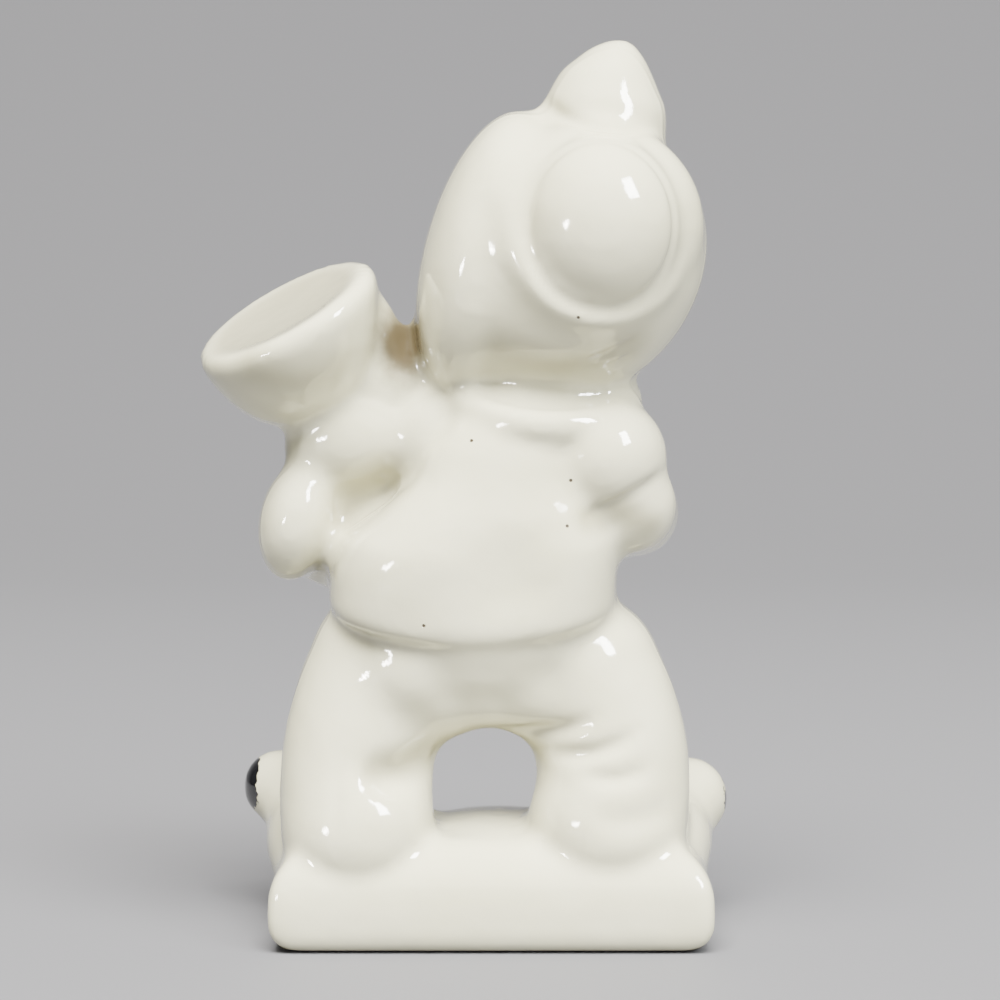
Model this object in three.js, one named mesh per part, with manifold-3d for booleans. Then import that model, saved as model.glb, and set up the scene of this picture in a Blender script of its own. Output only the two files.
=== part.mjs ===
// A small glazed porcelain figurine of a chubby musician in a little pointed cap, who leans back
// under a bass horn held over the left shoulder. It is cast in one piece with its slab.
// Millimetres, +Z up. The musician faces -Y, and the origin is the centre of the slab's underside.
import * as THREE from 'three';
import { mergeVertices } from 'three/addons/utils/BufferGeometryUtils.js';
import Module from 'manifold-3d';

const wasm = await Module();
wasm.setup();

// Driving sizes
const SLAB = {
  width: 36.3, depth: 21.4, height: 8.8, topRound: 5, endRound: 1.5, footRound: 2.2, footEdge: 0.9,
  underRound: 1.3,
};
const TROUSERS = { creaseWidth: 0.9, creaseDepth: 0.5 };
const JACKET = {
  hem: 12, flatness: 0.8, hemHeight: 26.8, rise: 18.6, lean: 5.4, tail: 2.7, nip: 2, dip: 1.4,
  squareness: 3.1,
};
const COLLAR = { radius: 6.9, thickness: 1.5, turn: [-19, -3, 0] };
const HEAD = { tilt: -19 };
const CROWN = { across: 6.6, bulge: 6.15, tall: 7.4, roll: 7, rollThickness: 0.8, stretch: 1.07 };
const CAP = { radius: 5.2, foot: 62.5, nodFrom: 71, top: 74.1, nod: 1.3 };
const BELL = { radius: 8.3, depth: 9.4, lip: 1.2, dish: 0.45, lean: 0.1 };

const glaze = new THREE.MeshStandardMaterial({ color: 0xeeebe0, roughness: 0.12, metalness: 0 });

const point = (x, y, z) => new THREE.Vector3(x, y, z);

// A closed geometry as a solid that can be joined and cut.
function solid(geometry) {
  const bare = geometry.index ? geometry.toNonIndexed() : geometry.clone();
  for (const name of Object.keys(bare.attributes)) {
    if (name !== 'position') bare.deleteAttribute(name);
  }
  const merged = mergeVertices(bare, 1e-4);
  return new wasm.Manifold(new wasm.Mesh({
    numProp: 3,
    vertProperties: merged.attributes.position.array,
    triVerts: new Uint32Array(merged.index.array),
  }));
}

const join = (solids) => solids.reduce((all, next) => all.add(next));

// Moves every vertex of a geometry by a rule.
function reshape(geometry, rule) {
  const position = geometry.attributes.position;
  const vertex = new THREE.Vector3();
  for (let i = 0; i < position.count; i += 1) {
    vertex.fromBufferAttribute(position, i);
    rule(vertex);
    position.setXYZ(i, vertex.x, vertex.y, vertex.z);
  }
  return geometry;
}

// A place in space: a centre, turns about X, Y and Z in degrees, and a stretch along each axis.
function place(centre, turn = [0, 0, 0], stretch = [1, 1, 1]) {
  const euler = new THREE.Euler(...turn.map(THREE.MathUtils.degToRad), 'ZYX');
  return new THREE.Matrix4().compose(
    centre,
    new THREE.Quaternion().setFromEuler(euler),
    new THREE.Vector3(...stretch),
  );
}

// A round lump of clay with three half sizes.
function lump(centre, half, turn, slices = 12) {
  const ball = new THREE.SphereGeometry(1, slices, Math.round(slices * 0.62)).rotateX(Math.PI / 2);
  return solid(ball.applyMatrix4(place(centre, turn, half)));
}

// A capsule bent along a smooth line, with its own thickness at each point of the line.
function limb(points, thickness, { around = 10, along = 6, cap = 2 } = {}) {
  const line = new THREE.CatmullRomCurve3(points);
  const frames = line.computeFrenetFrames(along);
  const radii = new THREE.SplineCurve(thickness.map((radius, i) => new THREE.Vector2(i, radius)));
  const capsule = new THREE.CapsuleGeometry(1, 1, cap, around, along);
  return solid(reshape(capsule, (v) => {
    const share = THREE.MathUtils.clamp(v.y + 0.5, 0, 1);
    const step = Math.round(share * along);
    const radius = radii.getPoint(share).y;
    const [side, past, front] = [v.x * radius, (v.y + 0.5 - share) * radius, -v.z * radius];
    v.copy(line.getPointAt(share))
      .addScaledVector(frames.normals[step], side)
      .addScaledVector(frames.binormals[step], front)
      .addScaledVector(frames.tangents[step], past);
  }));
}

// A turned shape: an outline of [radius, height] pairs spun about +Z, bent by a rule, then placed.
function turned(outline, matrix, { slices = 22, rule = () => {} } = {}) {
  const profile = outline.map(([radius, height]) => new THREE.Vector2(radius, height));
  const skin = reshape(new THREE.LatheGeometry(profile, slices).rotateX(Math.PI / 2), rule);
  return solid(skin.applyMatrix4(matrix));
}

// A solid as a named mesh.
function meshOf(shape, name, material) {
  const { vertProperties, triVerts } = shape.getMesh();
  const geometry = new THREE.BufferGeometry();
  geometry.setAttribute('position', new THREE.BufferAttribute(new Float32Array(vertProperties), 3));
  geometry.setIndex(new THREE.BufferAttribute(new Uint32Array(triVerts), 1));
  geometry.computeVertexNormals();
  const mesh = new THREE.Mesh(geometry, material);
  mesh.name = name;
  return mesh;
}

// Slab: a bar with full rounds along its top, and ends that curl up from the foot

function slab() {
  const { width, depth, height, topRound, endRound, footRound, footEdge, underRound } = SLAB;
  const half = width / 2;
  const [right, quarter] = [Math.PI, Math.PI / 2];
  const front = new THREE.Shape()
    .absarc(-half + footRound, footRound, footRound, right, right + quarter)
    .absarc(half - footRound, footRound, footRound, -quarter, 0)
    .absarc(half - endRound, height - endRound, endRound, 0, quarter)
    .absarc(-half + endRound, height - endRound, endRound, quarter, right);
  const bar = new THREE.ExtrudeGeometry(front, {
    depth: depth - 2 * footEdge,
    bevelThickness: footEdge,
    bevelSize: footEdge,
    bevelOffset: -footEdge,
    bevelSegments: 2,
    curveSegments: 5,
  });
  bar.rotateX(quarter).translate(0, depth / 2 - footEdge, 0);
  const end = new THREE.Shape()
    .absarc(-depth / 2 + underRound, underRound, underRound, right, right + quarter)
    .absarc(depth / 2 - underRound, underRound, underRound, -quarter, 0)
    .absarc(depth / 2 - topRound, height - topRound, topRound, 0, quarter)
    .absarc(-depth / 2 + topRound, height - topRound, topRound, quarter, right);
  const rounds = new THREE.ExtrudeGeometry(end, { depth: 2 * width, bevelEnabled: false, curveSegments: 7 });
  rounds.rotateX(quarter).rotateZ(quarter).translate(-width, 0, 0);
  return solid(bar).intersect(solid(rounds));
}

// Trousers: two wide legs that meet in a pointed arch, with soft creases behind the right knee

const LEGS = [
  {
    line: [point(8.4, 0.6, 22.4), point(10.4, 1.6, 18), point(11.2, 2.8, 13), point(11, 4.4, 9)],
    thickness: [6.8, 6.4, 6.4, 6.4],
  },
  {
    line: [point(-7.4, 0.9, 21.6), point(-9.4, 1.8, 17.6), point(-10.1, 2.8, 13), point(-9.6, 3.7, 9.4)],
    thickness: [6.8, 6.4, 6.4, 6.7],
  },
];

// The creases behind the knees and under the right arm, each from one side to the other as [x, z].
const KNEE_CREASES = [
  [[-1.4, 17.6], [-4.8, 17.6], [-8.4, 18.9]],
  [[-4.6, 15.9], [-8.2, 16.1], [-11.8, 17.7]],
  [[-7.4, 14.5], [-10, 14.1], [-12.6, 14.9]],
  [[5.4, 15.2], [7.8, 14.4], [10.4, 14.9]],
];
const SLEEVE_CREASES = [[[-7.7, 35.2], [-10.9, 36.7], [-14.1, 38.6]]];

// The place where a line of sight from straight behind meets a solid.
function seenFromBehind(shape, x, z) {
  const sight = new THREE.Raycaster(point(x, 100, z), point(0, -1, 0));
  return sight.intersectObject(meshOf(shape, 'target', glaze))[0].point;
}

// Presses creases into a solid with a rounded tool that runs shallow at both ends.
function creased(shape, lines) {
  const { creaseWidth, creaseDepth } = TROUSERS;
  const outside = point(0, creaseWidth - creaseDepth, 0);
  const tools = lines.map((line) => limb(
    line.map(([x, z]) => seenFromBehind(shape, x, z).add(outside)),
    [creaseWidth / 2, creaseWidth, creaseWidth / 2],
    { around: 6, along: 4, cap: 1 },
  ));
  return shape.subtract(join(tools));
}

function trousers() {
  const shape = { around: 16, along: 6, cap: 3 };
  return creased(join([
    ...LEGS.map(({ line, thickness }) => limb(line, thickness, shape)),
    lump(point(4.8, 2.4, 20.8), [5.6, 5.2, 4.6]),
    lump(point(-3.8, 2.4, 20.8), [5.2, 5.2, 4.4]),
    lump(point(0.6, 1.8, 22.2), [5, 5.6, 4.6]),
    lump(point(-7, 3.2, 9.2), [4.2, 6, 4]),
    lump(point(0.6, 0.8, 23), [10.4, 7.8, 4.8]),
    lump(point(0.6, 0.4, 25), [11.7, 8.9, 5.4], [0, 0, 0], 16),
    lump(point(7.2, 1.2, 23.6), [6.4, 7, 4.6]),
  ]), KNEE_CREASES);
}

// Shoes: long toes that point outwards, on a low mound of clay between the feet

function shoes() {
  return join([
    limb([point(9, -2.4, 10), point(14, -5, 10.6), point(18.3, -6.2, 10.9)], [3.2, 3.4, 3.2]),
    limb([point(-7.5, -2.4, 10), point(-12.5, -5, 10), point(-16.8, -6, 9.9)], [3.2, 3.5, 3.6]),
    lump(point(-0.6, -1, 6.8), [9, 9.4, 2.9]),
    lump(point(14.6, -3, 7), [4.6, 7.6, 5.4], [0, 0, 0], 15),
    lump(point(-14.2, -3, 7), [4.6, 7.6, 4.9], [0, 0, 0], 15),
  ]);
}

// Jacket: a bell-shaped body that leans to the right, longer in its tail behind

function jacket() {
  const { hem, flatness, hemHeight, rise, lean, tail, nip, dip, squareness } = JACKET;
  const outline = [
    [0, 0], [0.86, 0], [0.97, 0.02], [1, 0.07], [0.985, 0.2], [0.95, 0.35],
    [0.8, 0.49], [0.64, 0.65], [0.54, 0.82], [0.42, 0.95], [0, 1],
  ];
  const bend = (v) => {
    const share = THREE.MathUtils.clamp(v.z / rise, 0, 1);
    const reach = Math.hypot(v.x, v.y) || 1;
    const sum = Math.abs(v.x / reach) ** squareness + Math.abs(v.y / reach) ** squareness;
    const square = (sum || 1) ** (-1 / squareness);
    const behind = Math.max(0, v.y / hem);
    const swell = 1.2 * Math.exp(-(((share - 0.74) / 0.24) ** 2));
    const hollow = dip * Math.exp(-(((share - 0.3) / 0.14) ** 2) - ((v.x / hem + 0.15) / 0.4) ** 2);
    const waist = nip * Math.exp(-(((share - 0.56) / 0.12) ** 2)) * Math.max(v.x / reach, 0) ** 2;
    v.x = v.x * square + 1.6 - waist - lean * share ** 2.1;
    v.y = v.y * square * (flatness + 0.3 * share) + 0.2 + (swell - hollow) * behind;
    v.z += hemHeight - tail * behind ** 2 * (1 - share);
  };
  const rings = outline.map(([radius, height]) => [radius * hem, height * rise]);
  return turned(rings, new THREE.Matrix4(), { slices: 26, rule: bend });
}

function collar() {
  const { radius, thickness, turn } = COLLAR;
  const roll = new THREE.TorusGeometry(radius, thickness, 8, 24);
  return join([
    solid(roll.applyMatrix4(place(point(-4.2, 0.4, 44.7), turn))),
    lump(point(-4.2, 0.4, 44.4), [radius, radius, 3], turn),
  ]);
}

// Arms: the right one bent in front of the chest, the left one under the horn

function arms() {
  return creased(join([
    lump(point(-9.2, 2.8, 39.6), [5.3, 5.6, 5.3], [0, -24, 0], 15),
    limb([point(-11.2, 2.4, 35.8), point(-12, -3.2, 34.5), point(-9.4, -8.4, 34.8)], [4.1, 3.5, 2.7]),
    lump(point(11.6, -0.6, 41.2), [5.9, 4.4, 4.3], [0, 14, 0]),
    lump(point(4.2, -1, 41), [5.2, 5.4, 5.2], [0, 20, 0]),
    lump(point(15.9, 0.1, 34.5), [3.5, 4.4, 5.2], [0, -10, 0], 15),
    lump(point(11.8, -3.4, 35.4), [4.2, 4.2, 5.8], [0, -35, 0]),
    limb([point(15.4, -3.2, 33.2), point(13, -5.6, 31.3), point(10, -8.6, 31.2)], [3.3, 3.4, 2.7]),
  ]), SLEEVE_CREASES);
}

// Hands: two mittens of clay closed round the tube

function hands() {
  return join([
    lump(point(-6.6, -11, 35), [3.1, 2.6, 3.2], [0, 10, 0], 10),
    lump(point(7.6, -10.9, 31.9), [3.1, 2.7, 3.2], [0, -20, 0], 10),
  ]);
}

// Head: an egg that tips to the right, a lobe of hair at the side, and a round crown in a rolled ring

const HEAD_CENTRE = point(-6.1, 0.4, 56.2);
const CROWN_CENTRE = point(-8.7, 6.7, 58.5);

// A place on the head, in the head's own tipped frame.
const onHead = (x, y, z) => point(x, y, z).applyMatrix4(place(HEAD_CENTRE, [0, HEAD.tilt, 0]));

function head() {
  const { across, bulge, tall, roll, rollThickness, stretch } = CROWN;
  const facing = place(CROWN_CENTRE.clone().add(point(0.1, 0.8, -0.2)), [-74, 0, 14]);
  const ring = new THREE.TorusGeometry(roll, rollThickness, 7, 24).scale(1, stretch, 1);
  return join([
    lump(point(-6.8, 0.4, 55.6), [10.4, 10, 12], [0, -39.5, 0], 21),
    lump(point(0.3, 0.2, 56.5), [5.3, 9.2, 12.2], [0, -15.5, 0], 18),
    lump(point(-8.4, 4, 58.6), [9, 5.7, 8.7], [0, 0, 0], 12),
    lump(CROWN_CENTRE, [across, bulge, tall], [0, 0, 0], 18),
    solid(ring.applyMatrix4(facing)),
  ]);
}

// Face: a calm one, with round cheeks, a button nose, closed lips and a small chin
function face() {
  const sides = [-1, 1];
  return join([
    lump(onHead(0, -9.7, -3), [1.6, 1.7, 1.5], [0, 0, 0], 10),
    lump(onHead(0, -7.6, -9), [3.2, 1.9, 2], [0, 0, 0], 10),
    ...sides.map((side) => lump(onHead(side * 4.4, -7.4, -5), [3.1, 2.2, 2.9], [0, 0, 0], 10)),
    ...sides.map((side) => lump(onHead(side * 3.5, -8.4, 1.2), [2.5, 1.3, 0.9], [0, 0, 0], 8)),
  ]);
}

function cap() {
  const { radius, foot, nodFrom, top, nod } = CAP;
  const outline = [
    [0, 0], [0.85, 0], [0.98, 0.35], [1, 0.51], [0.92, 0.59], [0.85, 0.66],
    [0.71, 0.78], [0.57, 0.86], [0.4, 0.93], [0.21, 0.98], [0, 1],
  ].map(([r, h]) => [r * radius, foot + h * (top - foot)]);
  const bend = (v) => {
    const share = THREE.MathUtils.clamp((v.z - nodFrom) / (top - nodFrom), 0, 1);
    v.x -= 9.4 + nod * share ** 1.5;
  };
  return turned(outline, new THREE.Matrix4(), { slices: 18, rule: bend });
}

// Horn: a deep round bell over the left shoulder, and a tube that curls down the chest to the mouth

function horn() {
  const { radius, depth, lip, dish, lean } = BELL;
  const bowl = [[0, 1], [0.1, 1], [0.38, 0.97], [0.6, 0.87], [0.76, 0.7], [0.88, 0.5], [0.96, 0.28]]
    .map(([r, h]) => [r * radius, -h * depth]);
  const rim = [
    [radius, -lip], [radius - lip * 0.2, -lip * 0.3], [radius - lip * 0.8, 0],
    [radius - lip * 1.4, -lip * 0.2], [radius * 0.5, -dish], [0, -dish],
  ];
  const bell = turned(
    [...bowl, ...rim],
    place(point(17.35, 0.8, 52), [-17, 28.5, 0]),
    { slices: 22, rule: (v) => { v.x -= v.z * lean; } },
  );
  const tube = limb([
    point(13.2, -1, 43.6), point(10.6, -6.4, 38.4), point(7, -9.8, 32.4), point(1, -11, 28.8),
    point(-4.6, -10.6, 31.4), point(-6.2, -10, 37.2), point(-5, -10, 43), point(-3.6, -10.2, 47.4),
  ], [3.4, 3, 2.8, 2.5, 2.2, 1.8, 1.5, 1.5], { around: 8, along: 12 });
  return join([
    bell,
    tube,
    lump(point(8.8, -0.2, 45), [4.4, 2.6, 4], [0, 12, 0]),
    lump(point(8.7, -0.4, 48.1), [1.9, 2.2, 5.8], [0, 16, 0]),
  ]);
}

// The joined casting

const casting = join([
  slab(), trousers(), shoes(), jacket(), collar(), arms(), hands(), head(), face(), cap(), horn(),
]);

const object = new THREE.Group();
object.add(meshOf(casting, 'figurine', glaze));

export default object;
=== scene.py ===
# A glazed porcelain figurine of a chubby musician in a pointed cap, seen from behind.
# The casting is built up from lumps of clay, joined and softened as in a mould, then glazed.
import bpy
import math
from mathutils import Euler, Matrix, Vector


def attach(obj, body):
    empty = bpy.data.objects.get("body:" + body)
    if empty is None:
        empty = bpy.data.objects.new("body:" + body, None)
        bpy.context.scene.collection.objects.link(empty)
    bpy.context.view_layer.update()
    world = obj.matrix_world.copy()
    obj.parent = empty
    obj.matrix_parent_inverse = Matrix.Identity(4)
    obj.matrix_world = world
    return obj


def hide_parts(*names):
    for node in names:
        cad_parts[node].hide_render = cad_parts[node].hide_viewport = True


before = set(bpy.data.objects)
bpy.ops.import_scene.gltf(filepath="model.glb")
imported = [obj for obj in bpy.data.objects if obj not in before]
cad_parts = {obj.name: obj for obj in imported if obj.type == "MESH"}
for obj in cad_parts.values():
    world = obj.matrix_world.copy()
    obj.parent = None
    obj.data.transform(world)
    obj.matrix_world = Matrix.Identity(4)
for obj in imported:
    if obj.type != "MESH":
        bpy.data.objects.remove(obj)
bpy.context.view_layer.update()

# Slab: the long bar of clay that the figure stands on.
# Its long top edges have the full round of the mould and its ends curl up from the foot,
# because glaze is wiped off the underside before firing.
MM = 0.001
SLAB_WIDTH, SLAB_DEPTH, SLAB_HEIGHT = 36.3, 21.4, 8.8
SLAB_TOP_ROUND, SLAB_END_ROUND, SLAB_FOOT_ROUND, SLAB_FOOT_EDGE = 5.0, 1.5, 2.2, 0.9
SLAB_UNDER_ROUND, NEAR_EDGE = 1.3, 0.1


def pick_nothing():
    if bpy.context.object and bpy.context.object.mode != "OBJECT":
        bpy.ops.object.mode_set(mode="OBJECT")
    bpy.ops.object.select_all(action="DESELECT")


def pick(*pieces):
    pick_nothing()
    for piece in pieces:
        piece.select_set(True)
    bpy.context.view_layer.objects.active = pieces[0]


def settle(piece):
    """Puts a piece's place into its mesh and leaves the object at the origin."""
    pick(piece)
    bpy.ops.object.transform_apply(location=True, rotation=True, scale=True)
    return piece


def modify(piece, kind, **settings):
    """Adds a modifier to a piece and applies it."""
    pick(piece)
    modifier = piece.modifiers.new(kind, kind)
    for key, value in settings.items():
        setattr(modifier, key, value)
    bpy.ops.object.modifier_apply(modifier=modifier.name)
    return piece


def block(size, place):
    pick_nothing()
    bpy.ops.mesh.primitive_cube_add(size=1, location=Vector(place) * MM, scale=Vector(size) * MM)
    return settle(bpy.context.object)


def round_edges(piece, chosen, radius, segments):
    """Bevels the edges whose two ends pass a test on their place in millimetres."""
    pick(piece)
    bpy.ops.object.mode_set(mode="EDIT")
    bpy.ops.mesh.select_all(action="DESELECT")
    bpy.ops.object.mode_set(mode="OBJECT")
    points = [vertex.co / MM for vertex in piece.data.vertices]
    for edge in piece.data.edges:
        edge.select = chosen(*(points[i] for i in edge.vertices))
    bpy.ops.object.mode_set(mode="EDIT")
    bpy.ops.mesh.select_mode(type="EDGE")
    bpy.ops.mesh.bevel(offset=radius * MM, segments=segments, affect="EDGES", profile=0.5)
    bpy.ops.object.mode_set(mode="OBJECT")
    return piece


def at_top(a, b):
    return min(a.z, b.z) > SLAB_HEIGHT - NEAR_EDGE


def at_foot(a, b):
    return max(a.z, b.z) < NEAR_EDGE


slab = block((SLAB_WIDTH, SLAB_DEPTH, SLAB_HEIGHT), (0, 0, SLAB_HEIGHT / 2))
round_edges(slab, lambda a, b: at_top(a, b) and a.x * b.x < 0, SLAB_TOP_ROUND, 10)
round_edges(slab, lambda a, b: at_foot(a, b) and a.x * b.x < 0, SLAB_UNDER_ROUND, 6)
foot = block((SLAB_WIDTH, SLAB_DEPTH, SLAB_HEIGHT), (0, 0, SLAB_HEIGHT / 2))
round_edges(foot, lambda a, b: at_foot(a, b) and a.x * b.x > 0, SLAB_FOOT_ROUND, 8)
round_edges(foot, lambda a, b: at_foot(a, b) and a.x * b.x < 0, SLAB_FOOT_EDGE, 3)
round_edges(foot, lambda a, b: max(a.z, b.z) > SLAB_HEIGHT - NEAR_EDGE and a.x * b.x > 0,
            SLAB_END_ROUND, 6)
modify(slab, "BOOLEAN", operation="INTERSECT", object=foot, solver="EXACT")
bpy.data.objects.remove(foot)

# Trousers: two wide legs pressed in the same mould, with soft creases behind the knees
# and full cuffs that sink on to the shoes and overhang the slab behind.
LEGS = {
    "left": [(8.4, 0.6, 22.4), (10.4, 1.6, 18), (11.2, 2.8, 13), (11, 4.4, 9)],
    "right": [(-7.4, 0.9, 21.6), (-9.4, 1.8, 17.6), (-10.1, 2.8, 13), (-9.6, 3.7, 9.4)],
}
LEG_THICKNESS = {"left": [6.8, 6.4, 6.4, 6.4], "right": [6.8, 6.4, 6.4, 6.7]}


def lump(centre, half, turn=(0, 0, 0)):
    """A round lump of clay with three half sizes."""
    pick_nothing()
    bpy.ops.mesh.primitive_uv_sphere_add(
        segments=56, ring_count=36, radius=MM, location=Vector(centre) * MM,
        rotation=[math.radians(angle) for angle in turn], scale=half)
    return settle(bpy.context.object)


def limb(points, radii):
    """A round roll of clay along a smooth line, with its own thickness at each point."""
    pick_nothing()
    bpy.ops.curve.primitive_bezier_curve_add()
    roll = bpy.context.object
    spline = roll.data.splines[0]
    spline.bezier_points.add(len(points) - 2)
    for knot, place, radius in zip(spline.bezier_points, points, radii):
        knot.handle_left_type = knot.handle_right_type = "AUTO"
        knot.co = Vector(place) * MM
        knot.radius = radius
    spline.resolution_u = 16
    roll.data.dimensions = "3D"
    roll.data.bevel_depth = MM
    roll.data.bevel_resolution = 12
    roll.data.use_fill_caps = True
    pick(roll)
    bpy.ops.object.convert(target="MESH")
    ends = [lump(points[i], [radii[i]] * 3) for i in (0, -1)]
    return [roll, *ends]


def weld(name, lumps, grain, fillet, softness):
    """Joins lumps into one skin, fills their inner corners to a radius and softens the skin."""
    pick(*lumps)
    bpy.ops.object.join()
    piece = bpy.context.object
    piece.name = name
    modify(piece, "REMESH", mode="VOXEL", voxel_size=grain * MM)
    for reach, rounds in ((fillet, 2), (-fillet, 4)):
        modify(piece, "SMOOTH", factor=0.5, iterations=rounds)
        modify(piece, "DISPLACE", strength=reach * MM, mid_level=0)
        modify(piece, "REMESH", mode="VOXEL", voxel_size=grain * MM)
    return modify(piece, "SMOOTH", factor=0.5, iterations=softness)


trousers = weld("trousers", [
    *limb(LEGS["left"], LEG_THICKNESS["left"]),
    *limb(LEGS["right"], LEG_THICKNESS["right"]),
    lump((4.8, 2.4, 20.8), (5.6, 5.2, 4.6)),
    lump((-3.8, 2.4, 20.8), (5.2, 5.2, 4.4)),
    lump((0.6, 1.8, 22.2), (5, 5.6, 4.6)),
    lump((0.6, 3.2, 20.3), (4.4, 4.2, 3)),
    lump((-7, 3.2, 9.2), (4.2, 6, 4)),
    lump((0.6, 0.8, 23), (10.4, 7.8, 4.8)),
    lump((0.6, 0.4, 25), (11.7, 8.9, 5.4)),
    lump((6.6, 1.2, 22.6), (6.2, 7.4, 6.2)),
], grain=0.4, fillet=1.4, softness=2)

# Shoes: long toes that point outwards over the slab, bedded on a low mound of clay.
# Their fronts are painted black by hand under the glaze.
SHOES = {
    "left": [(9, -2.4, 10), (14, -5, 10.6), (18.3, -6.2, 10.9)],
    "right": [(-7.5, -2.4, 10), (-12.5, -5, 10), (-16.8, -6, 9.9)],
}
footing = weld("footing", [
    slab,
    lump((-0.6, -1, 6.8), (9, 9.4, 2.9)),
    lump((14.6, -3, 7), (4.6, 7.6, 5.4)),
    lump((-14.2, -3, 7), (4.6, 7.6, 4.9)),
    *limb(SHOES["left"], [3.2, 3.4, 3.2]),
    *limb(SHOES["right"], [3.2, 3.5, 3.6]),
], grain=0.4, fillet=0.9, softness=2)

# Jacket: a full body that leans to the right, with a rolled hem that is lower behind.
# It was turned up from a disc of clay, ring on ring, and pressed flatter front to back.
JACKET_HEM, JACKET_FLATNESS, JACKET_FOOT, JACKET_RISE = 12, 0.8, 26.8, 18.6
JACKET_SHIFT, JACKET_LEAN, JACKET_TAIL, JACKET_SQUARE = 1.6, 5.4, 2.7, 3.1
JACKET_NIP, JACKET_DIP, JACKET_SWELL = 2, 1.4, 1.2
JACKET_RINGS = [
    (0.72, 0), (0.92, 0.005), (0.985, 0.03), (1, 0.07), (0.99, 0.13), (0.985, 0.22), (0.95, 0.35),
    (0.81, 0.48), (0.67, 0.61), (0.59, 0.74), (0.52, 0.86), (0.42, 0.95), (0.25, 1),
]


def turned(rings, sides=72):
    """A skin drawn up ring by ring. Each ring is a radius, a height and a shift to the side."""
    pick_nothing()
    radius, height, shift = rings[0]
    bpy.ops.mesh.primitive_circle_add(vertices=sides, radius=radius * MM, fill_type="NGON",
                                      location=(shift * MM, 0, height * MM))
    piece = settle(bpy.context.object)
    bpy.ops.object.mode_set(mode="EDIT")
    bpy.ops.mesh.select_all(action="SELECT")
    for (old, low, near), (new, high, far) in zip(rings, rings[1:]):
        bpy.ops.mesh.extrude_region_move(
            TRANSFORM_OT_translate={"value": ((far - near) * MM, 0, (high - low) * MM)})
        bpy.ops.transform.resize(value=(new / old, new / old, 1),
                                 center_override=(far * MM, 0, high * MM))
    bpy.ops.mesh.select_all(action="SELECT")
    bpy.ops.mesh.normals_make_consistent(inside=False)
    bpy.ops.object.mode_set(mode="OBJECT")
    return piece


def bump_at(value, middle, spread):
    """How far into a bump's exponent a value lies: 0 at its middle, and lower to both sides."""
    return -((value - middle) / spread) ** 2


jacket = turned([(r * JACKET_HEM, h * JACKET_RISE, 0) for r, h in JACKET_RINGS])
for vertex in jacket.data.vertices:
    share = min(max(vertex.co.z / MM / JACKET_RISE, 0), 1)
    reach = math.hypot(vertex.co.x, vertex.co.y)
    square = 1
    if reach > 0:
        square = sum(abs(v / reach) ** JACKET_SQUARE for v in vertex.co.xy) ** (-1 / JACKET_SQUARE)
    behind = vertex.co.y / MM / JACKET_HEM
    nip = JACKET_NIP * math.exp(bump_at(share, 0.56, 0.12))
    nip = nip * max(vertex.co.x / (reach or 1), 0) ** 2
    vertex.co.x = vertex.co.x * square + (JACKET_SHIFT - nip - JACKET_LEAN * share ** 2.1) * MM
    vertex.co.y = vertex.co.y * square * (JACKET_FLATNESS + 0.3 * share) + 0.2 * MM
    aside = vertex.co.x / MM / JACKET_HEM
    dip = math.exp(bump_at(share, 0.3, 0.14) + bump_at(aside, -0.15, 0.4))
    swell = JACKET_SWELL * math.exp(bump_at(share, 0.74, 0.24)) - JACKET_DIP * dip
    vertex.co.y += swell * max(behind, 0) * MM
    vertex.co.z += (JACKET_FOOT - JACKET_TAIL * max(behind, 0) ** 2 * (1 - share)) * MM

# Arms: the right one bent in front of the chest, the left one under the horn.
# Sleeve and shoulder are each a soft bulge, with a deep tuck where the elbow folds.
arms = [
    lump((-9.2, 2.8, 39.6), (5.3, 5.6, 5.3), (0, -24, 0)),
    *limb([(-11.2, 2.4, 35.8), (-12, -3.2, 34.5), (-9.4, -8.4, 34.8)], [4.1, 3.5, 2.7]),
    lump((11.6, -0.6, 41.2), (5.9, 4.4, 4.3), (0, 14, 0)),
    lump((4.2, -1, 41), (5.2, 5.4, 5.2), (0, 20, 0)),
    lump((16.2, 0.1, 34.3), (3.2, 4.7, 5.2), (0, -12, 0)),
    lump((11.8, -3.4, 35.4), (4.2, 4.2, 5.8), (0, -35, 0)),
    *limb([(15, -2.8, 32.5), (13, -5.6, 31.3), (10, -8.6, 31.2)], [3.3, 3.4, 2.7]),
]
body = weld("body", [jacket, *arms], grain=0.35, fillet=0.4, softness=2)

# Horn: a deep round bell over the left shoulder, with a thick rolled rim and a shallow mouth.
# Its tube curls down the chest to the mouth, and a web of clay ties the bell to the neck.
BELL_RADIUS, BELL_DEPTH, BELL_LIP, BELL_DISH = 8.3, 9.4, 1.2, 0.45
BELL_MOUTH, BELL_TURN = (17.35, 0.8, 52), (-17, 28.5, 0)
BELL_RINGS = [(0.1, 1), (0.38, 0.97), (0.6, 0.87), (0.76, 0.7), (0.88, 0.5), (0.96, 0.28)]
BELL_LEAN = 0.1
TUBE_THICKNESS = [3.4, 3, 2.8, 2.5, 2.2, 1.8, 1.5, 1.5]
TUBE = [
    (13.2, -1, 43.6), (10.6, -6.4, 38.4), (7, -9.8, 32.4), (1, -11, 28.8),
    (-4.6, -10.6, 31.4), (-6.2, -10, 37.2), (-5, -10, 43), (-3.6, -10.2, 47.4),
]
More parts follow.
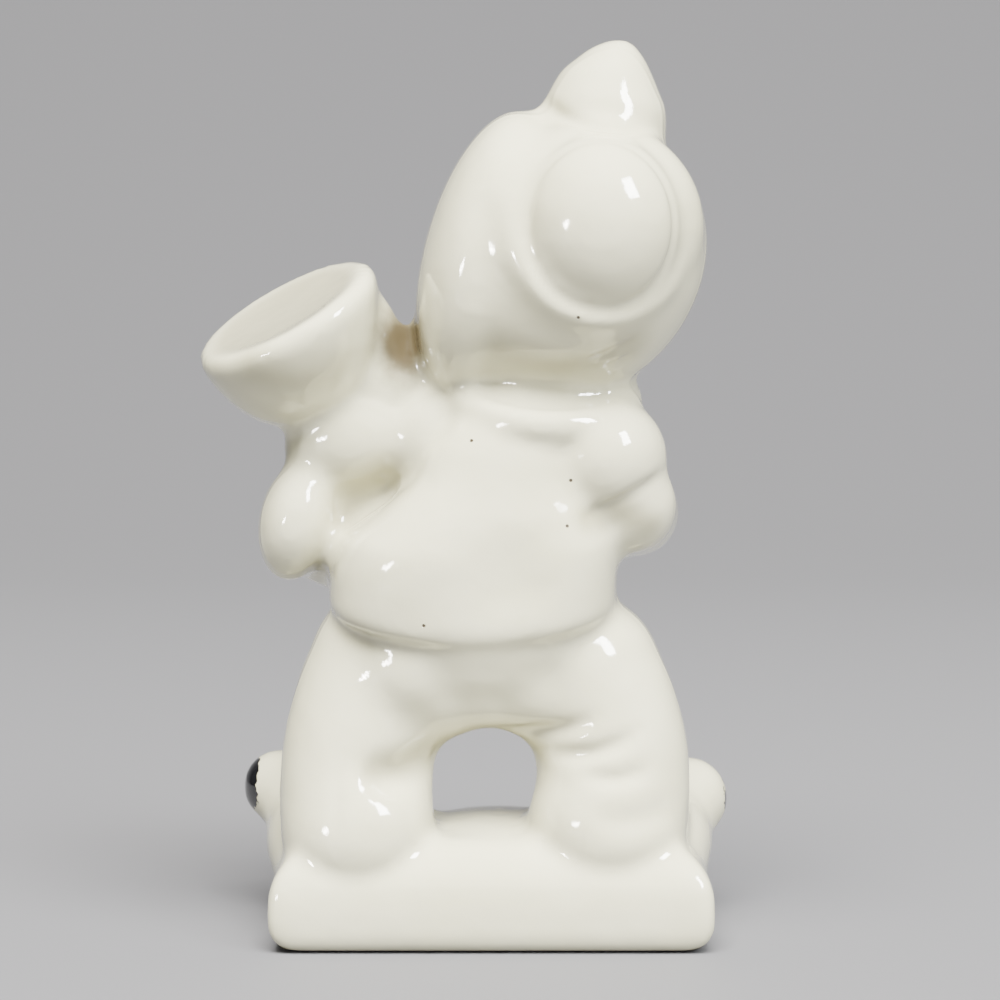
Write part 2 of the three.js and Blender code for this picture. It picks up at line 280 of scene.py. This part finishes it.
bell = turned([
    *[(r * BELL_RADIUS, -h * BELL_DEPTH, h * BELL_DEPTH * BELL_LEAN) for r, h in BELL_RINGS],
    (BELL_RADIUS, -BELL_LIP, 0), (BELL_RADIUS - BELL_LIP * 0.1, -BELL_LIP * 0.5, 0),
    (BELL_RADIUS - BELL_LIP * 0.4, -BELL_LIP * 0.1, 0), (BELL_RADIUS - BELL_LIP * 0.8, 0, 0),
    (BELL_RADIUS - BELL_LIP * 1.4, -BELL_LIP * 0.2, 0), (BELL_RADIUS * 0.6, -BELL_DISH * 0.8, 0),
    (BELL_RADIUS * 0.3, -BELL_DISH, 0), (0.3, -BELL_DISH, 0),
])
bell.rotation_euler = [math.radians(angle) for angle in BELL_TURN]
bell.location = Vector(BELL_MOUTH) * MM
settle(bell)
horn = weld("horn", [bell, *limb(TUBE, TUBE_THICKNESS)], grain=0.35, fillet=0.3, softness=3)

# Head: an egg that tips to the right. Behind it a round crown swells out of a rolled ring,
# with the hair combed to the side in one soft lobe, and a small cap sits on the top.
HEAD_CENTRE, HEAD_TILT = Vector((-6.1, 0.4, 56.2)), -19
SKULL = (-6.8, 0.4, 55.6), (10.4, 10, 12), (0, -39.5, 0)
SIDE_HAIR = (0.3, 0.2, 56.5), (5.3, 9.2, 12.2), (0, -15.5, 0)
BACK_HAIR = (-8.4, 4, 58.6), (9, 5.7, 8.7), (0, 0, 0)
CROWN_CENTRE, CROWN_HALF = Vector((-8.7, 6.7, 58.5)), (6.6, 6, 7.4)
ROLL_RADIUS, ROLL_THICKNESS, ROLL_STRETCH, ROLL_TURN = 7, 0.8, 1.07, (-74, 0, 14)
ROLL_SHIFT = Vector((0.1, 0.8, -0.2))
CAP_RINGS = [
    (4.4, 62.5, -9.4), (5.1, 66.6, -9.4), (5.2, 68.4, -9.3), (4.8, 69.3, -9.2),
    (4.4, 70.2, -9.3), (3.7, 71.6, -9.4), (2.95, 72.4, -9.8), (2.1, 73.3, -10),
    (1.1, 73.95, -10.5), (0.3, 74.1, -10.7),
]


def ring(centre, radius, thickness, turn, stretch=1):
    """A closed roll of clay round a centre."""
    pick_nothing()
    bpy.ops.mesh.primitive_torus_add(
        location=Vector(centre) * MM, rotation=[math.radians(angle) for angle in turn],
        major_segments=72, minor_segments=20, major_radius=radius * MM, minor_radius=thickness * MM)
    bpy.context.object.scale = (1, stretch, 1)
    return settle(bpy.context.object)


def on_head(x, y, z):
    """A place on the head, in the head's own tipped frame."""
    tilt = Matrix.Rotation(math.radians(HEAD_TILT), 4, "Y")
    return HEAD_CENTRE + tilt @ Vector((x, y, z))


roll = ring(CROWN_CENTRE + ROLL_SHIFT, ROLL_RADIUS, ROLL_THICKNESS, ROLL_TURN, ROLL_STRETCH)
cap = turned(CAP_RINGS)
hair = weld("hair", [
    lump(*SKULL),
    lump(*SIDE_HAIR),
    lump(*BACK_HAIR),
    roll,
], grain=0.4, fillet=1, softness=2)
head = weld("head", [
    hair,
    lump(on_head(0, -9.7, -3), (1.6, 1.7, 1.5)),
    lump(on_head(0, -7.6, -9), (3.2, 1.9, 2)),
    *[lump(on_head(side * 4.4, -7.4, -5), (3.1, 2.2, 2.9)) for side in (-1, 1)],
    *[lump(on_head(side * 3.5, -8.4, 1.2), (2.5, 1.3, 0.9)) for side in (-1, 1)],
    cap,
], grain=0.35, fillet=0.5, softness=2)
crown = lump(CROWN_CENTRE, CROWN_HALF)

# Collar, web and hands: the last small pieces of clay, laid over the joints.
COLLAR_RADIUS, COLLAR_THICKNESS, COLLAR_TURN = 6.9, 1.5, (-19, -3, 0)
collar = ring((-4.2, 0.4, 44.7), COLLAR_RADIUS, COLLAR_THICKNESS, COLLAR_TURN)
neck = lump((-4.2, 0.4, 44.4), (COLLAR_RADIUS, COLLAR_RADIUS, 3), COLLAR_TURN)
web = [lump((8.8, -0.2, 45), (4.4, 2.6, 4), (0, 12, 0)),
       lump((8.7, -0.4, 48.1), (1.9, 2.2, 5.8), (0, 16, 0))]
hands = [lump((-6.6, -11, 35), (3.1, 2.6, 3.2), (0, 10, 0)),
         lump((7.6, -10.9, 31.9), (3.1, 2.7, 3.2), (0, -20, 0))]
casting = weld("casting", [
    trousers, footing, body, horn, head, crown, collar, neck, *web, *hands,
], grain=0.345, fillet=0.35, softness=3)


# Creases: lines pressed into the soft casting with a modelling tool before it is glazed.
# Behind the knees they are low smiles in the cloth, and under the right arm the sleeve folds.
# Finer ones wrinkle the nape, ring the crown and draw the closed eyes and the fingers.
CREASES = [
    # three places seen from behind as x and z, then the depth and the width
    ((-1.4, 17.6), (-4.8, 17.6), (-8.4, 18.9), 0.5, 0.75),
    ((-4.6, 15.9), (-8.2, 16.1), (-11.8, 17.7), 0.55, 0.75),
    ((-7.4, 14.5), (-10, 14.1), (-12.6, 14.9), 0.4, 0.75),
    ((-8, 11.4), (-11.3, 10.8), (-14.6, 11.8), 0.45, 1.3),
    ((4.9, 15.2), (7.4, 14.4), (10.6, 14.9), 1.1, 1.7),
    ((12.4, 9.4), (12.5, 12.2), (12.2, 15.4), 0.12, 0.6),
    ((-7.7, 35.2), (-10.9, 36.7), (-14.1, 38.6), 0.45, 0.55),
    ((-7.8, 47.4), (-9.8, 48.3), (-11.7, 49.6), 0.3, 0.5),
    ((-9.4, 46.9), (-10.5, 47.5), (-11.4, 48.2), 0.25, 0.45),
    ((-0.5, 47.2), (-5.5, 46.4), (-10.2, 47.6), 0.7, 2.2),
    ((0.9, 61.5), (0.6, 56.5), (1.6, 51.5), 0.4, 1.5),
    ((-3.9, 69.2), (-7.6, 66.7), (-13.2, 66.5), 0.35, 0.6),
]
GROOVE_ACROSS, GROOVE_TALL, GROOVE_DEPTH, GROOVE_WIDTH, GROOVE_STEPS = 5.9, 6.7, 0.3, 0.5, 48
# The closed eyes, by places on the head from its middle, then the depth and the width.
FACE_LINES = [
    ((side * 1.9, -0.9), (side * 3.6, -1.7), (side * 5.2, -0.7), 0.4, 0.42) for side in (-1, 1)
]
FINGER_LINES = [
    *[((-8.9, z + 0.3), (-7.2, z), (-5.2, z + 0.2), 0.3, 0.35) for z in (33.6, 35, 36.4)],
    *[((5.6, z - 0.5), (7.4, z), (9.4, z + 0.5), 0.3, 0.35) for z in (30.6, 31.9, 33.2)],
]


def seen(piece, x, z, side=1):
    """The place on a piece seen from straight behind, or from the front, at a given x and z."""
    hit, place, _, _ = piece.ray_cast(Vector((x, side * 100, z)) * MM, Vector((0, -side, 0)))
    return place / MM


def bowed(start, middle, end, steps=10):
    """Places along a bow that passes through three given ones."""
    places = []
    for step in range(steps + 1):
        t = step / steps
        places.append([a * (1 - t) * (1 - 2 * t) + b * 4 * t * (1 - t) + c * t * (2 * t - 1)
                       for a, b, c in zip(start, middle, end)])
    return places


def press(piece, line, depth, width):
    """Presses a line of places into a piece, deepest in its middle and fading at both ends."""
    line = [Vector(place) * MM for place in line]
    low = [min(place[i] for place in line) - 3 * width * MM for i in range(3)]
    high = [max(place[i] for place in line) + 3 * width * MM for i in range(3)]
    moves = []
    for vertex in piece.data.vertices:
        if not all(low[i] < vertex.co[i] < high[i] for i in range(3)):
            continue
        near, along = min(
            ((vertex.co - place).length, step) for step, place in enumerate(line))
        for step in (along - 1, along):
            if 0 <= step < len(line) - 1:
                run = line[step + 1] - line[step]
                share = min(max((vertex.co - line[step]).dot(run) / run.length_squared, 0), 1)
                gap = (vertex.co - line[step] - share * run).length
                if gap <= near:
                    near, along = gap, step + share
        fade = math.sin(math.pi * min(max(along / (len(line) - 1), 0.02), 0.98)) ** 0.6
        moves.append((vertex, vertex.normal * depth * MM * fade
                      * math.exp(-(near / (width * MM)) ** 2)))
    for vertex, move in moves:
        vertex.co -= move


for start, middle, end, depth, width in CREASES:
    press(casting, [seen(casting, x, z) for x, z in bowed(start, middle, end)], depth, width)
groove = []
for step in range(GROOVE_STEPS + 1):
    angle = math.pi / 2 + math.tau * step / GROOVE_STEPS
    groove.append(seen(casting, CROWN_CENTRE.x + GROOVE_ACROSS * math.cos(angle),
                       CROWN_CENTRE.z + GROOVE_TALL * math.sin(angle)))
press(casting, groove, GROOVE_DEPTH, GROOVE_WIDTH)
for start, middle, end, depth, width in FACE_LINES:
    line = [on_head(x, 0, z) for x, z in bowed(start, middle, end)]
    press(casting, [seen(casting, place.x, place.z, -1) for place in line], depth, width)
for start, middle, end, depth, width in FINGER_LINES:
    press(casting, [seen(casting, x, z, -1) for x, z in bowed(start, middle, end)], depth, width)
modify(casting, "SMOOTH", factor=0.5, iterations=1)
pick(casting)
bpy.ops.object.shade_smooth()
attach(casting, "root")
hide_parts("figurine")

# Glaze: a clear glossy coat over cream-white porcelain, with pinholes where bubbles burst.
# Shade is painted into the colour, darker in the hollows and in the bell's mouth. Black paint was
# brushed on the toes by hand, with a ragged edge, brown dirt has settled between head and horn,
# and the foot is bare, where it stood in the kiln.


class Wire:
    """A shader value that takes part in plain arithmetic."""

    def __init__(self, socket):
        self.socket = socket

    def node(self, kind, settings, inputs, out=0):
        """Any other node: its type, its settings, then the values and wires that go in."""
        tree = self.socket.id_data
        made = tree.nodes.new(kind)
        for key, value in settings.items():
            setattr(made, key, value)
        for key, value in inputs.items():
            if isinstance(value, Wire):
                tree.links.new(value.socket, made.inputs[key])
            else:
                made.inputs[key].default_value = value
        return Wire(made.outputs[out])

    def sum(self, operation, *others):
        """This value put through one step of a sum, with any others that the step takes."""
        inputs = dict(enumerate((self, *others)))
        return self.node("ShaderNodeMath", {"operation": operation}, inputs)

    def __add__(self, other):
        return self.sum("ADD", other)

    def __sub__(self, other):
        return self.sum("SUBTRACT", other)

    def __mul__(self, other):
        return self.sum("MULTIPLY", other)

    def __truediv__(self, other):
        return self.sum("DIVIDE", other)

    def __neg__(self):
        return self * -1

    def __rsub__(self, other):
        return self * -1 + other

    __radd__ = __add__
    __rmul__ = __mul__

    def within(self, low, high):
        """Rises softly from 0 at one value to 1 at another."""
        return self.node("ShaderNodeMapRange", {"interpolation_type": "SMOOTHSTEP"},
                         {"Value": self, "From Min": low, "From Max": high})

    def noise(self, size, detail=2, roughness=0.5):
        """Cloudy noise between about -1 and 1, with a grain size in millimetres."""
        cloud = self.node("ShaderNodeTexNoise", {}, {
            "Vector": self, "Scale": 1 / size, "Detail": detail, "Roughness": roughness})
        return cloud * 2 - 1

    def blend(self, factor, other):
        """Goes from this colour to another one as the factor rises."""
        return self.node("ShaderNodeMix", {"data_type": "RGBA"}, {0: factor, 6: self, 7: other}, 2)

    def vector(self, operation, other, out=0):
        return self.node("ShaderNodeVectorMath", {"operation": operation}, {0: self, 1: other}, out)

    def beside(self, start, end):
        """The distance from a straight line between two places."""
        run = end - start
        away = self.vector("SUBTRACT", tuple(start))
        share = away.vector("DOT_PRODUCT", tuple(run), 1) / run.length_squared
        share = share.sum("MAXIMUM", 0).sum("MINIMUM", 1)
        along = share.node("ShaderNodeVectorMath", {"operation": "SCALE"},
                           {0: tuple(run), "Scale": share})
        return away.vector("DISTANCE", along, 1)


CREAM, IVORY = (0.58, 0.56, 0.4, 1), (0.52, 0.5, 0.33, 1)
DIRT, PAINT = (0.05, 0.034, 0.013, 1), (0.006, 0.006, 0.007, 1)
BARE, HOLE = (0.5, 0.45, 0.37, 1), (0.05, 0.035, 0.02, 1)
PINHOLES = [(1.6, 41.3), (-6.4, 38.1), (-6.1, 34.5), (5.4, 26.6), (13.6, 52.1), (-6.9, 51.2)]
PINHOLE_SIZE = 0.17
NOTCH, NOTCH_REACH = (7.2, 1.6, 49.4), (2.6, 3.6, 4)
TOE_LEFT, TOE_RIGHT, TOE_FRONT, TOE_FOOT, TOE_TOP, TOE_INNER = 19.9, -19.9, -7.3, 9.2, 16, 9
SEAM, SEAM_WIDTH = 2.4, 0.3
# PAINTED_SHADE is a dark tint painted into the hollows and the bell's mouth, where shade falls.
PAINTED_SHADE, PAINTED_SHADE_SHARE, DIRT_SHARE = (0.27, 0.25, 0.15, 1), 0.6, 0.95
PAINTED_SHADE_HOLLOWS = [
    # how far the painted shade reaches from each hollow, and the hollow's line seen from behind
    (2.8, [(8.8, 38.6), (12, 35.6), (14.4, 30.6)]),
    (3.2, [(-0.6, 48.4), (-5.6, 47.2), (-11, 49)]),
    (2, [(-7.6, 35), (-10.6, 35.6), (-12.8, 34.4)]),
    (2.4, [(5.2, 15.8), (7.4, 15), (9.4, 14.8)]),
    (3, [(12.4, 47.4), (15.6, 46), (19.2, 47)]),
]
MOUTH_SHADE_FROM, MOUTH_SHADE_TO = 5.6, 7.4

glaze = bpy.data.materials.new("glaze")
glaze.use_nodes = True
shader = glaze.node_tree.nodes["Principled BSDF"]
place = Wire(glaze.node_tree.nodes.new("ShaderNodeTexCoord").outputs["Object"])
place = place.node("ShaderNodeVectorMath", {"operation": "SCALE"}, {0: place, "Scale": 1 / MM})
x, y, z = (place.node("ShaderNodeSeparateXYZ", {}, {0: place}, axis) for axis in range(3))

clouds = place.noise(9, 3)
brush = place.noise(1.1, 2) * 0.45 + place.noise(0.35, 1) * 0.25
toes = (x - TOE_LEFT).sum("MAXIMUM", TOE_RIGHT - x).sum("MAXIMUM", TOE_FRONT - y)
toes = toes.sum("MINIMUM", z - TOE_FOOT).sum("MINIMUM", x.sum("ABSOLUTE") - TOE_INNER)
toes = toes.sum("MINIMUM", TOE_TOP - z)
painted = (toes + brush).within(-0.05, 0.1) * (0 - y).within(1, 2)
notch = place.vector("SUBTRACT", NOTCH).vector("DIVIDE", NOTCH_REACH)
notch = notch.node("ShaderNodeVectorMath", {"operation": "LENGTH"}, {0: notch}, 1)
# Painted shade: the colour is darkened along each hollow, where shade falls.
painted_shade = None
for reach, hollow in PAINTED_SHADE_HOLLOWS:
    first, second, third = (seen(casting, pool_x, pool_z) for pool_x, pool_z in hollow)
    near = place.beside(first, second).sum("MINIMUM", place.beside(second, third))
    hollow_shade = 1 - (near + clouds * 0.4).within(0, reach)
    painted_shade = hollow_shade if painted_shade is None else painted_shade.sum("MAXIMUM", hollow_shade)
# Painted shade inside the bell's mouth, darkest across its dish and fading at the rim.
from_mouth = place.vector("DISTANCE", BELL_MOUTH, 1)
painted_shade = painted_shade.sum("MAXIMUM", 1 - from_mouth.within(MOUTH_SHADE_FROM, MOUTH_SHADE_TO))
dirty = (1.3 - notch - place.noise(1.8, 3) * 0.2).within(0, 0.9)
holes = None
for hole_x, hole_z in PINHOLES:
    near = place.vector("DISTANCE", tuple(seen(casting, hole_x, hole_z)), 1)
    holes = near if holes is None else holes.sum("MINIMUM", near)
holes = 1 - holes.within(PINHOLE_SIZE * 0.5, PINHOLE_SIZE)
bare = 1 - (z + place.noise(2, 2) * 0.1).within(0.2, 0.4)

colour = place.node("ShaderNodeMix", {"data_type": "RGBA"},
                    {0: (clouds * 0.5 + 0.4).within(0, 1), 6: CREAM, 7: IVORY}, 2)
for share, tint in ((painted_shade * PAINTED_SHADE_SHARE, PAINTED_SHADE), (dirty * DIRT_SHARE, DIRT), (bare, BARE),
                    (holes, HOLE), (painted, PAINT)):
    colour = colour.blend(share, tint)
rough = 0.1 + place.noise(5, 2) * 0.03 + dirty * 0.15 + holes * 0.5
rough = rough * (1 - bare) + bare * (0.8 + place.noise(0.3, 2) * 0.1)
seam = (y - SEAM + place.noise(14, 1) * 1.2) / SEAM_WIDTH
on_horn = x.within(8, 9) * z.within(44, 45)
seam = (-(seam * seam)).sum("EXPONENT") * z.within(9.5, 11) * (1 - on_horn)
height = (place.noise(3.2, 1) * 0.05 + place.noise(0.9, 1) * 0.006 + seam * 0.06 - holes * 0.12
          + painted * 0.03 + bare * place.noise(0.25, 2) * 0.02)
bump = height.node("ShaderNodeBump", {}, {"Height": height * MM, "Distance": 1, "Strength": 1})
for name, wire in {"Base Color": colour, "Roughness": rough, "Normal": bump,
                   "Coat Weight": (1 - bare) * 0.7}.items():
    glaze.node_tree.links.new(wire.socket, shader.inputs[name])
shader.inputs["Coat Roughness"].default_value = 0.03
casting.data.materials.clear()
casting.data.materials.append(glaze)

# Studio: a pale paper sweep that curves up behind, a large soft light over the viewer's head
# and a weaker one at the right. A small bright window at the upper right and little lamps at the
# left only glint in the glaze.
SWEEP_NEAR, SWEEP_FAR, SWEEP_WIDTH, SWEEP_RISE, SWEEP_CURVE = 1.6, -0.9, 4, 1.6, 0.6
FLOOR_TINT, FLOOR_ROUGHNESS = (0.12, 0.12, 0.126, 1), 0.7
WORLD_TINT, WORLD_STRENGTH = (0.9, 0.93, 1, 1), 0.03
DAYLIGHT, BULB, LAMPLIGHT = (0.96, 0.98, 1), (1, 0.98, 0.94), (1, 0.97, 0.92)
LAMP_SIZE, LAMP_POWER, LAMP_NEAR = (0.02, 0.034), 0.3, 0.3
LAMPS = [(0.24, 0.085), (0.265, 0.065), (0.285, 0.08), (0.305, 0.055), (0.34, 0.07)]

pick_nothing()
bpy.ops.mesh.primitive_plane_add(size=1, location=(0, (SWEEP_NEAR + SWEEP_FAR) / 2, 0))
floor = bpy.context.object
floor.name = "floor"
floor.scale = (SWEEP_WIDTH, SWEEP_NEAR - SWEEP_FAR, 1)
settle(floor)
for edge in floor.data.edges:
    edge.select = all(floor.data.vertices[i].co.y < 0 for i in edge.vertices)
for face in floor.data.polygons:
    face.select = False
for vertex in floor.data.vertices:
    vertex.select = vertex.co.y < 0
bpy.ops.object.mode_set(mode="EDIT")
bpy.ops.mesh.select_mode(type="EDGE")
bpy.ops.mesh.extrude_region_move(TRANSFORM_OT_translate={"value": (0, 0, SWEEP_RISE)})
bpy.ops.object.mode_set(mode="OBJECT")
round_edges(floor, lambda a, b: max(a.z, b.z) < 1 and max(a.y, b.y) < 0, SWEEP_CURVE / MM, 16)
pick(floor)
bpy.ops.object.shade_smooth()
floor_finish = bpy.data.materials.new("floor")
floor_finish.use_nodes = True
paper = floor_finish.node_tree.nodes["Principled BSDF"]
paper.inputs["Base Color"].default_value = FLOOR_TINT
paper.inputs["Roughness"].default_value = FLOOR_ROUGHNESS
floor.data.materials.append(floor_finish)

world = bpy.data.worlds.new("studio")
bpy.context.scene.world = world
world.use_nodes = True
sky = world.node_tree.nodes["Background"]
sky.inputs["Color"].default_value = WORLD_TINT
sky.inputs["Strength"].default_value = WORLD_STRENGTH


def softbox(name, stand, aim, size, power, tint):
    """A flat lamp with a soft face, turned to a place it lights."""
    pick_nothing()
    bpy.ops.object.light_add(type="AREA", location=stand)
    lamp = bpy.context.object
    lamp.name = name
    lamp.data.shape = "RECTANGLE"
    lamp.data.size, lamp.data.size_y = size
    lamp.data.energy = power
    lamp.data.color = tint
    lamp.rotation_euler = (Vector(aim) - Vector(stand)).to_track_quat("-Z", "Y").to_euler()
    return lamp


window = softbox("window", (-0.3, 0.26, 0.36), (0, 0, 0.045), (0.12, 0.2), 7, DAYLIGHT)
window.visible_diffuse = False
side = softbox("side", (-0.44, 0.5, 0.5), (0, 0, 0.04), (0.6, 0.6), 16, DAYLIGHT)
side.visible_glossy = False
ceiling = softbox("ceiling", (0.02, 0.46, 0.95), (0, 0, 0.04), (0.8, 0.6), 84, BULB)
ceiling.visible_glossy = False
for lamp_x, lamp_z in LAMPS:
    lamp = softbox("lamp", (lamp_x, LAMP_NEAR, lamp_z), (0, 0, 0.05), LAMP_SIZE, LAMP_POWER,
                   LAMPLIGHT)
    lamp.visible_diffuse = False

# Camera: level with the figure's middle, a little above it, and straight behind its back.
AIM, DISTANCE, PITCH = Vector((-0.7, 0, 36)) * MM, 231.5 * MM, math.radians(4)
pick_nothing()
bpy.ops.object.camera_add(
    location=AIM + DISTANCE * Vector((0, math.cos(PITCH), math.sin(PITCH))),
    rotation=Euler((math.pi / 2 - PITCH, 0, math.pi)))
camera = bpy.context.object
camera.data.sensor_width = 36
camera.data.lens = 100
camera.data.clip_start = 0.01
bpy.context.scene.camera = camera
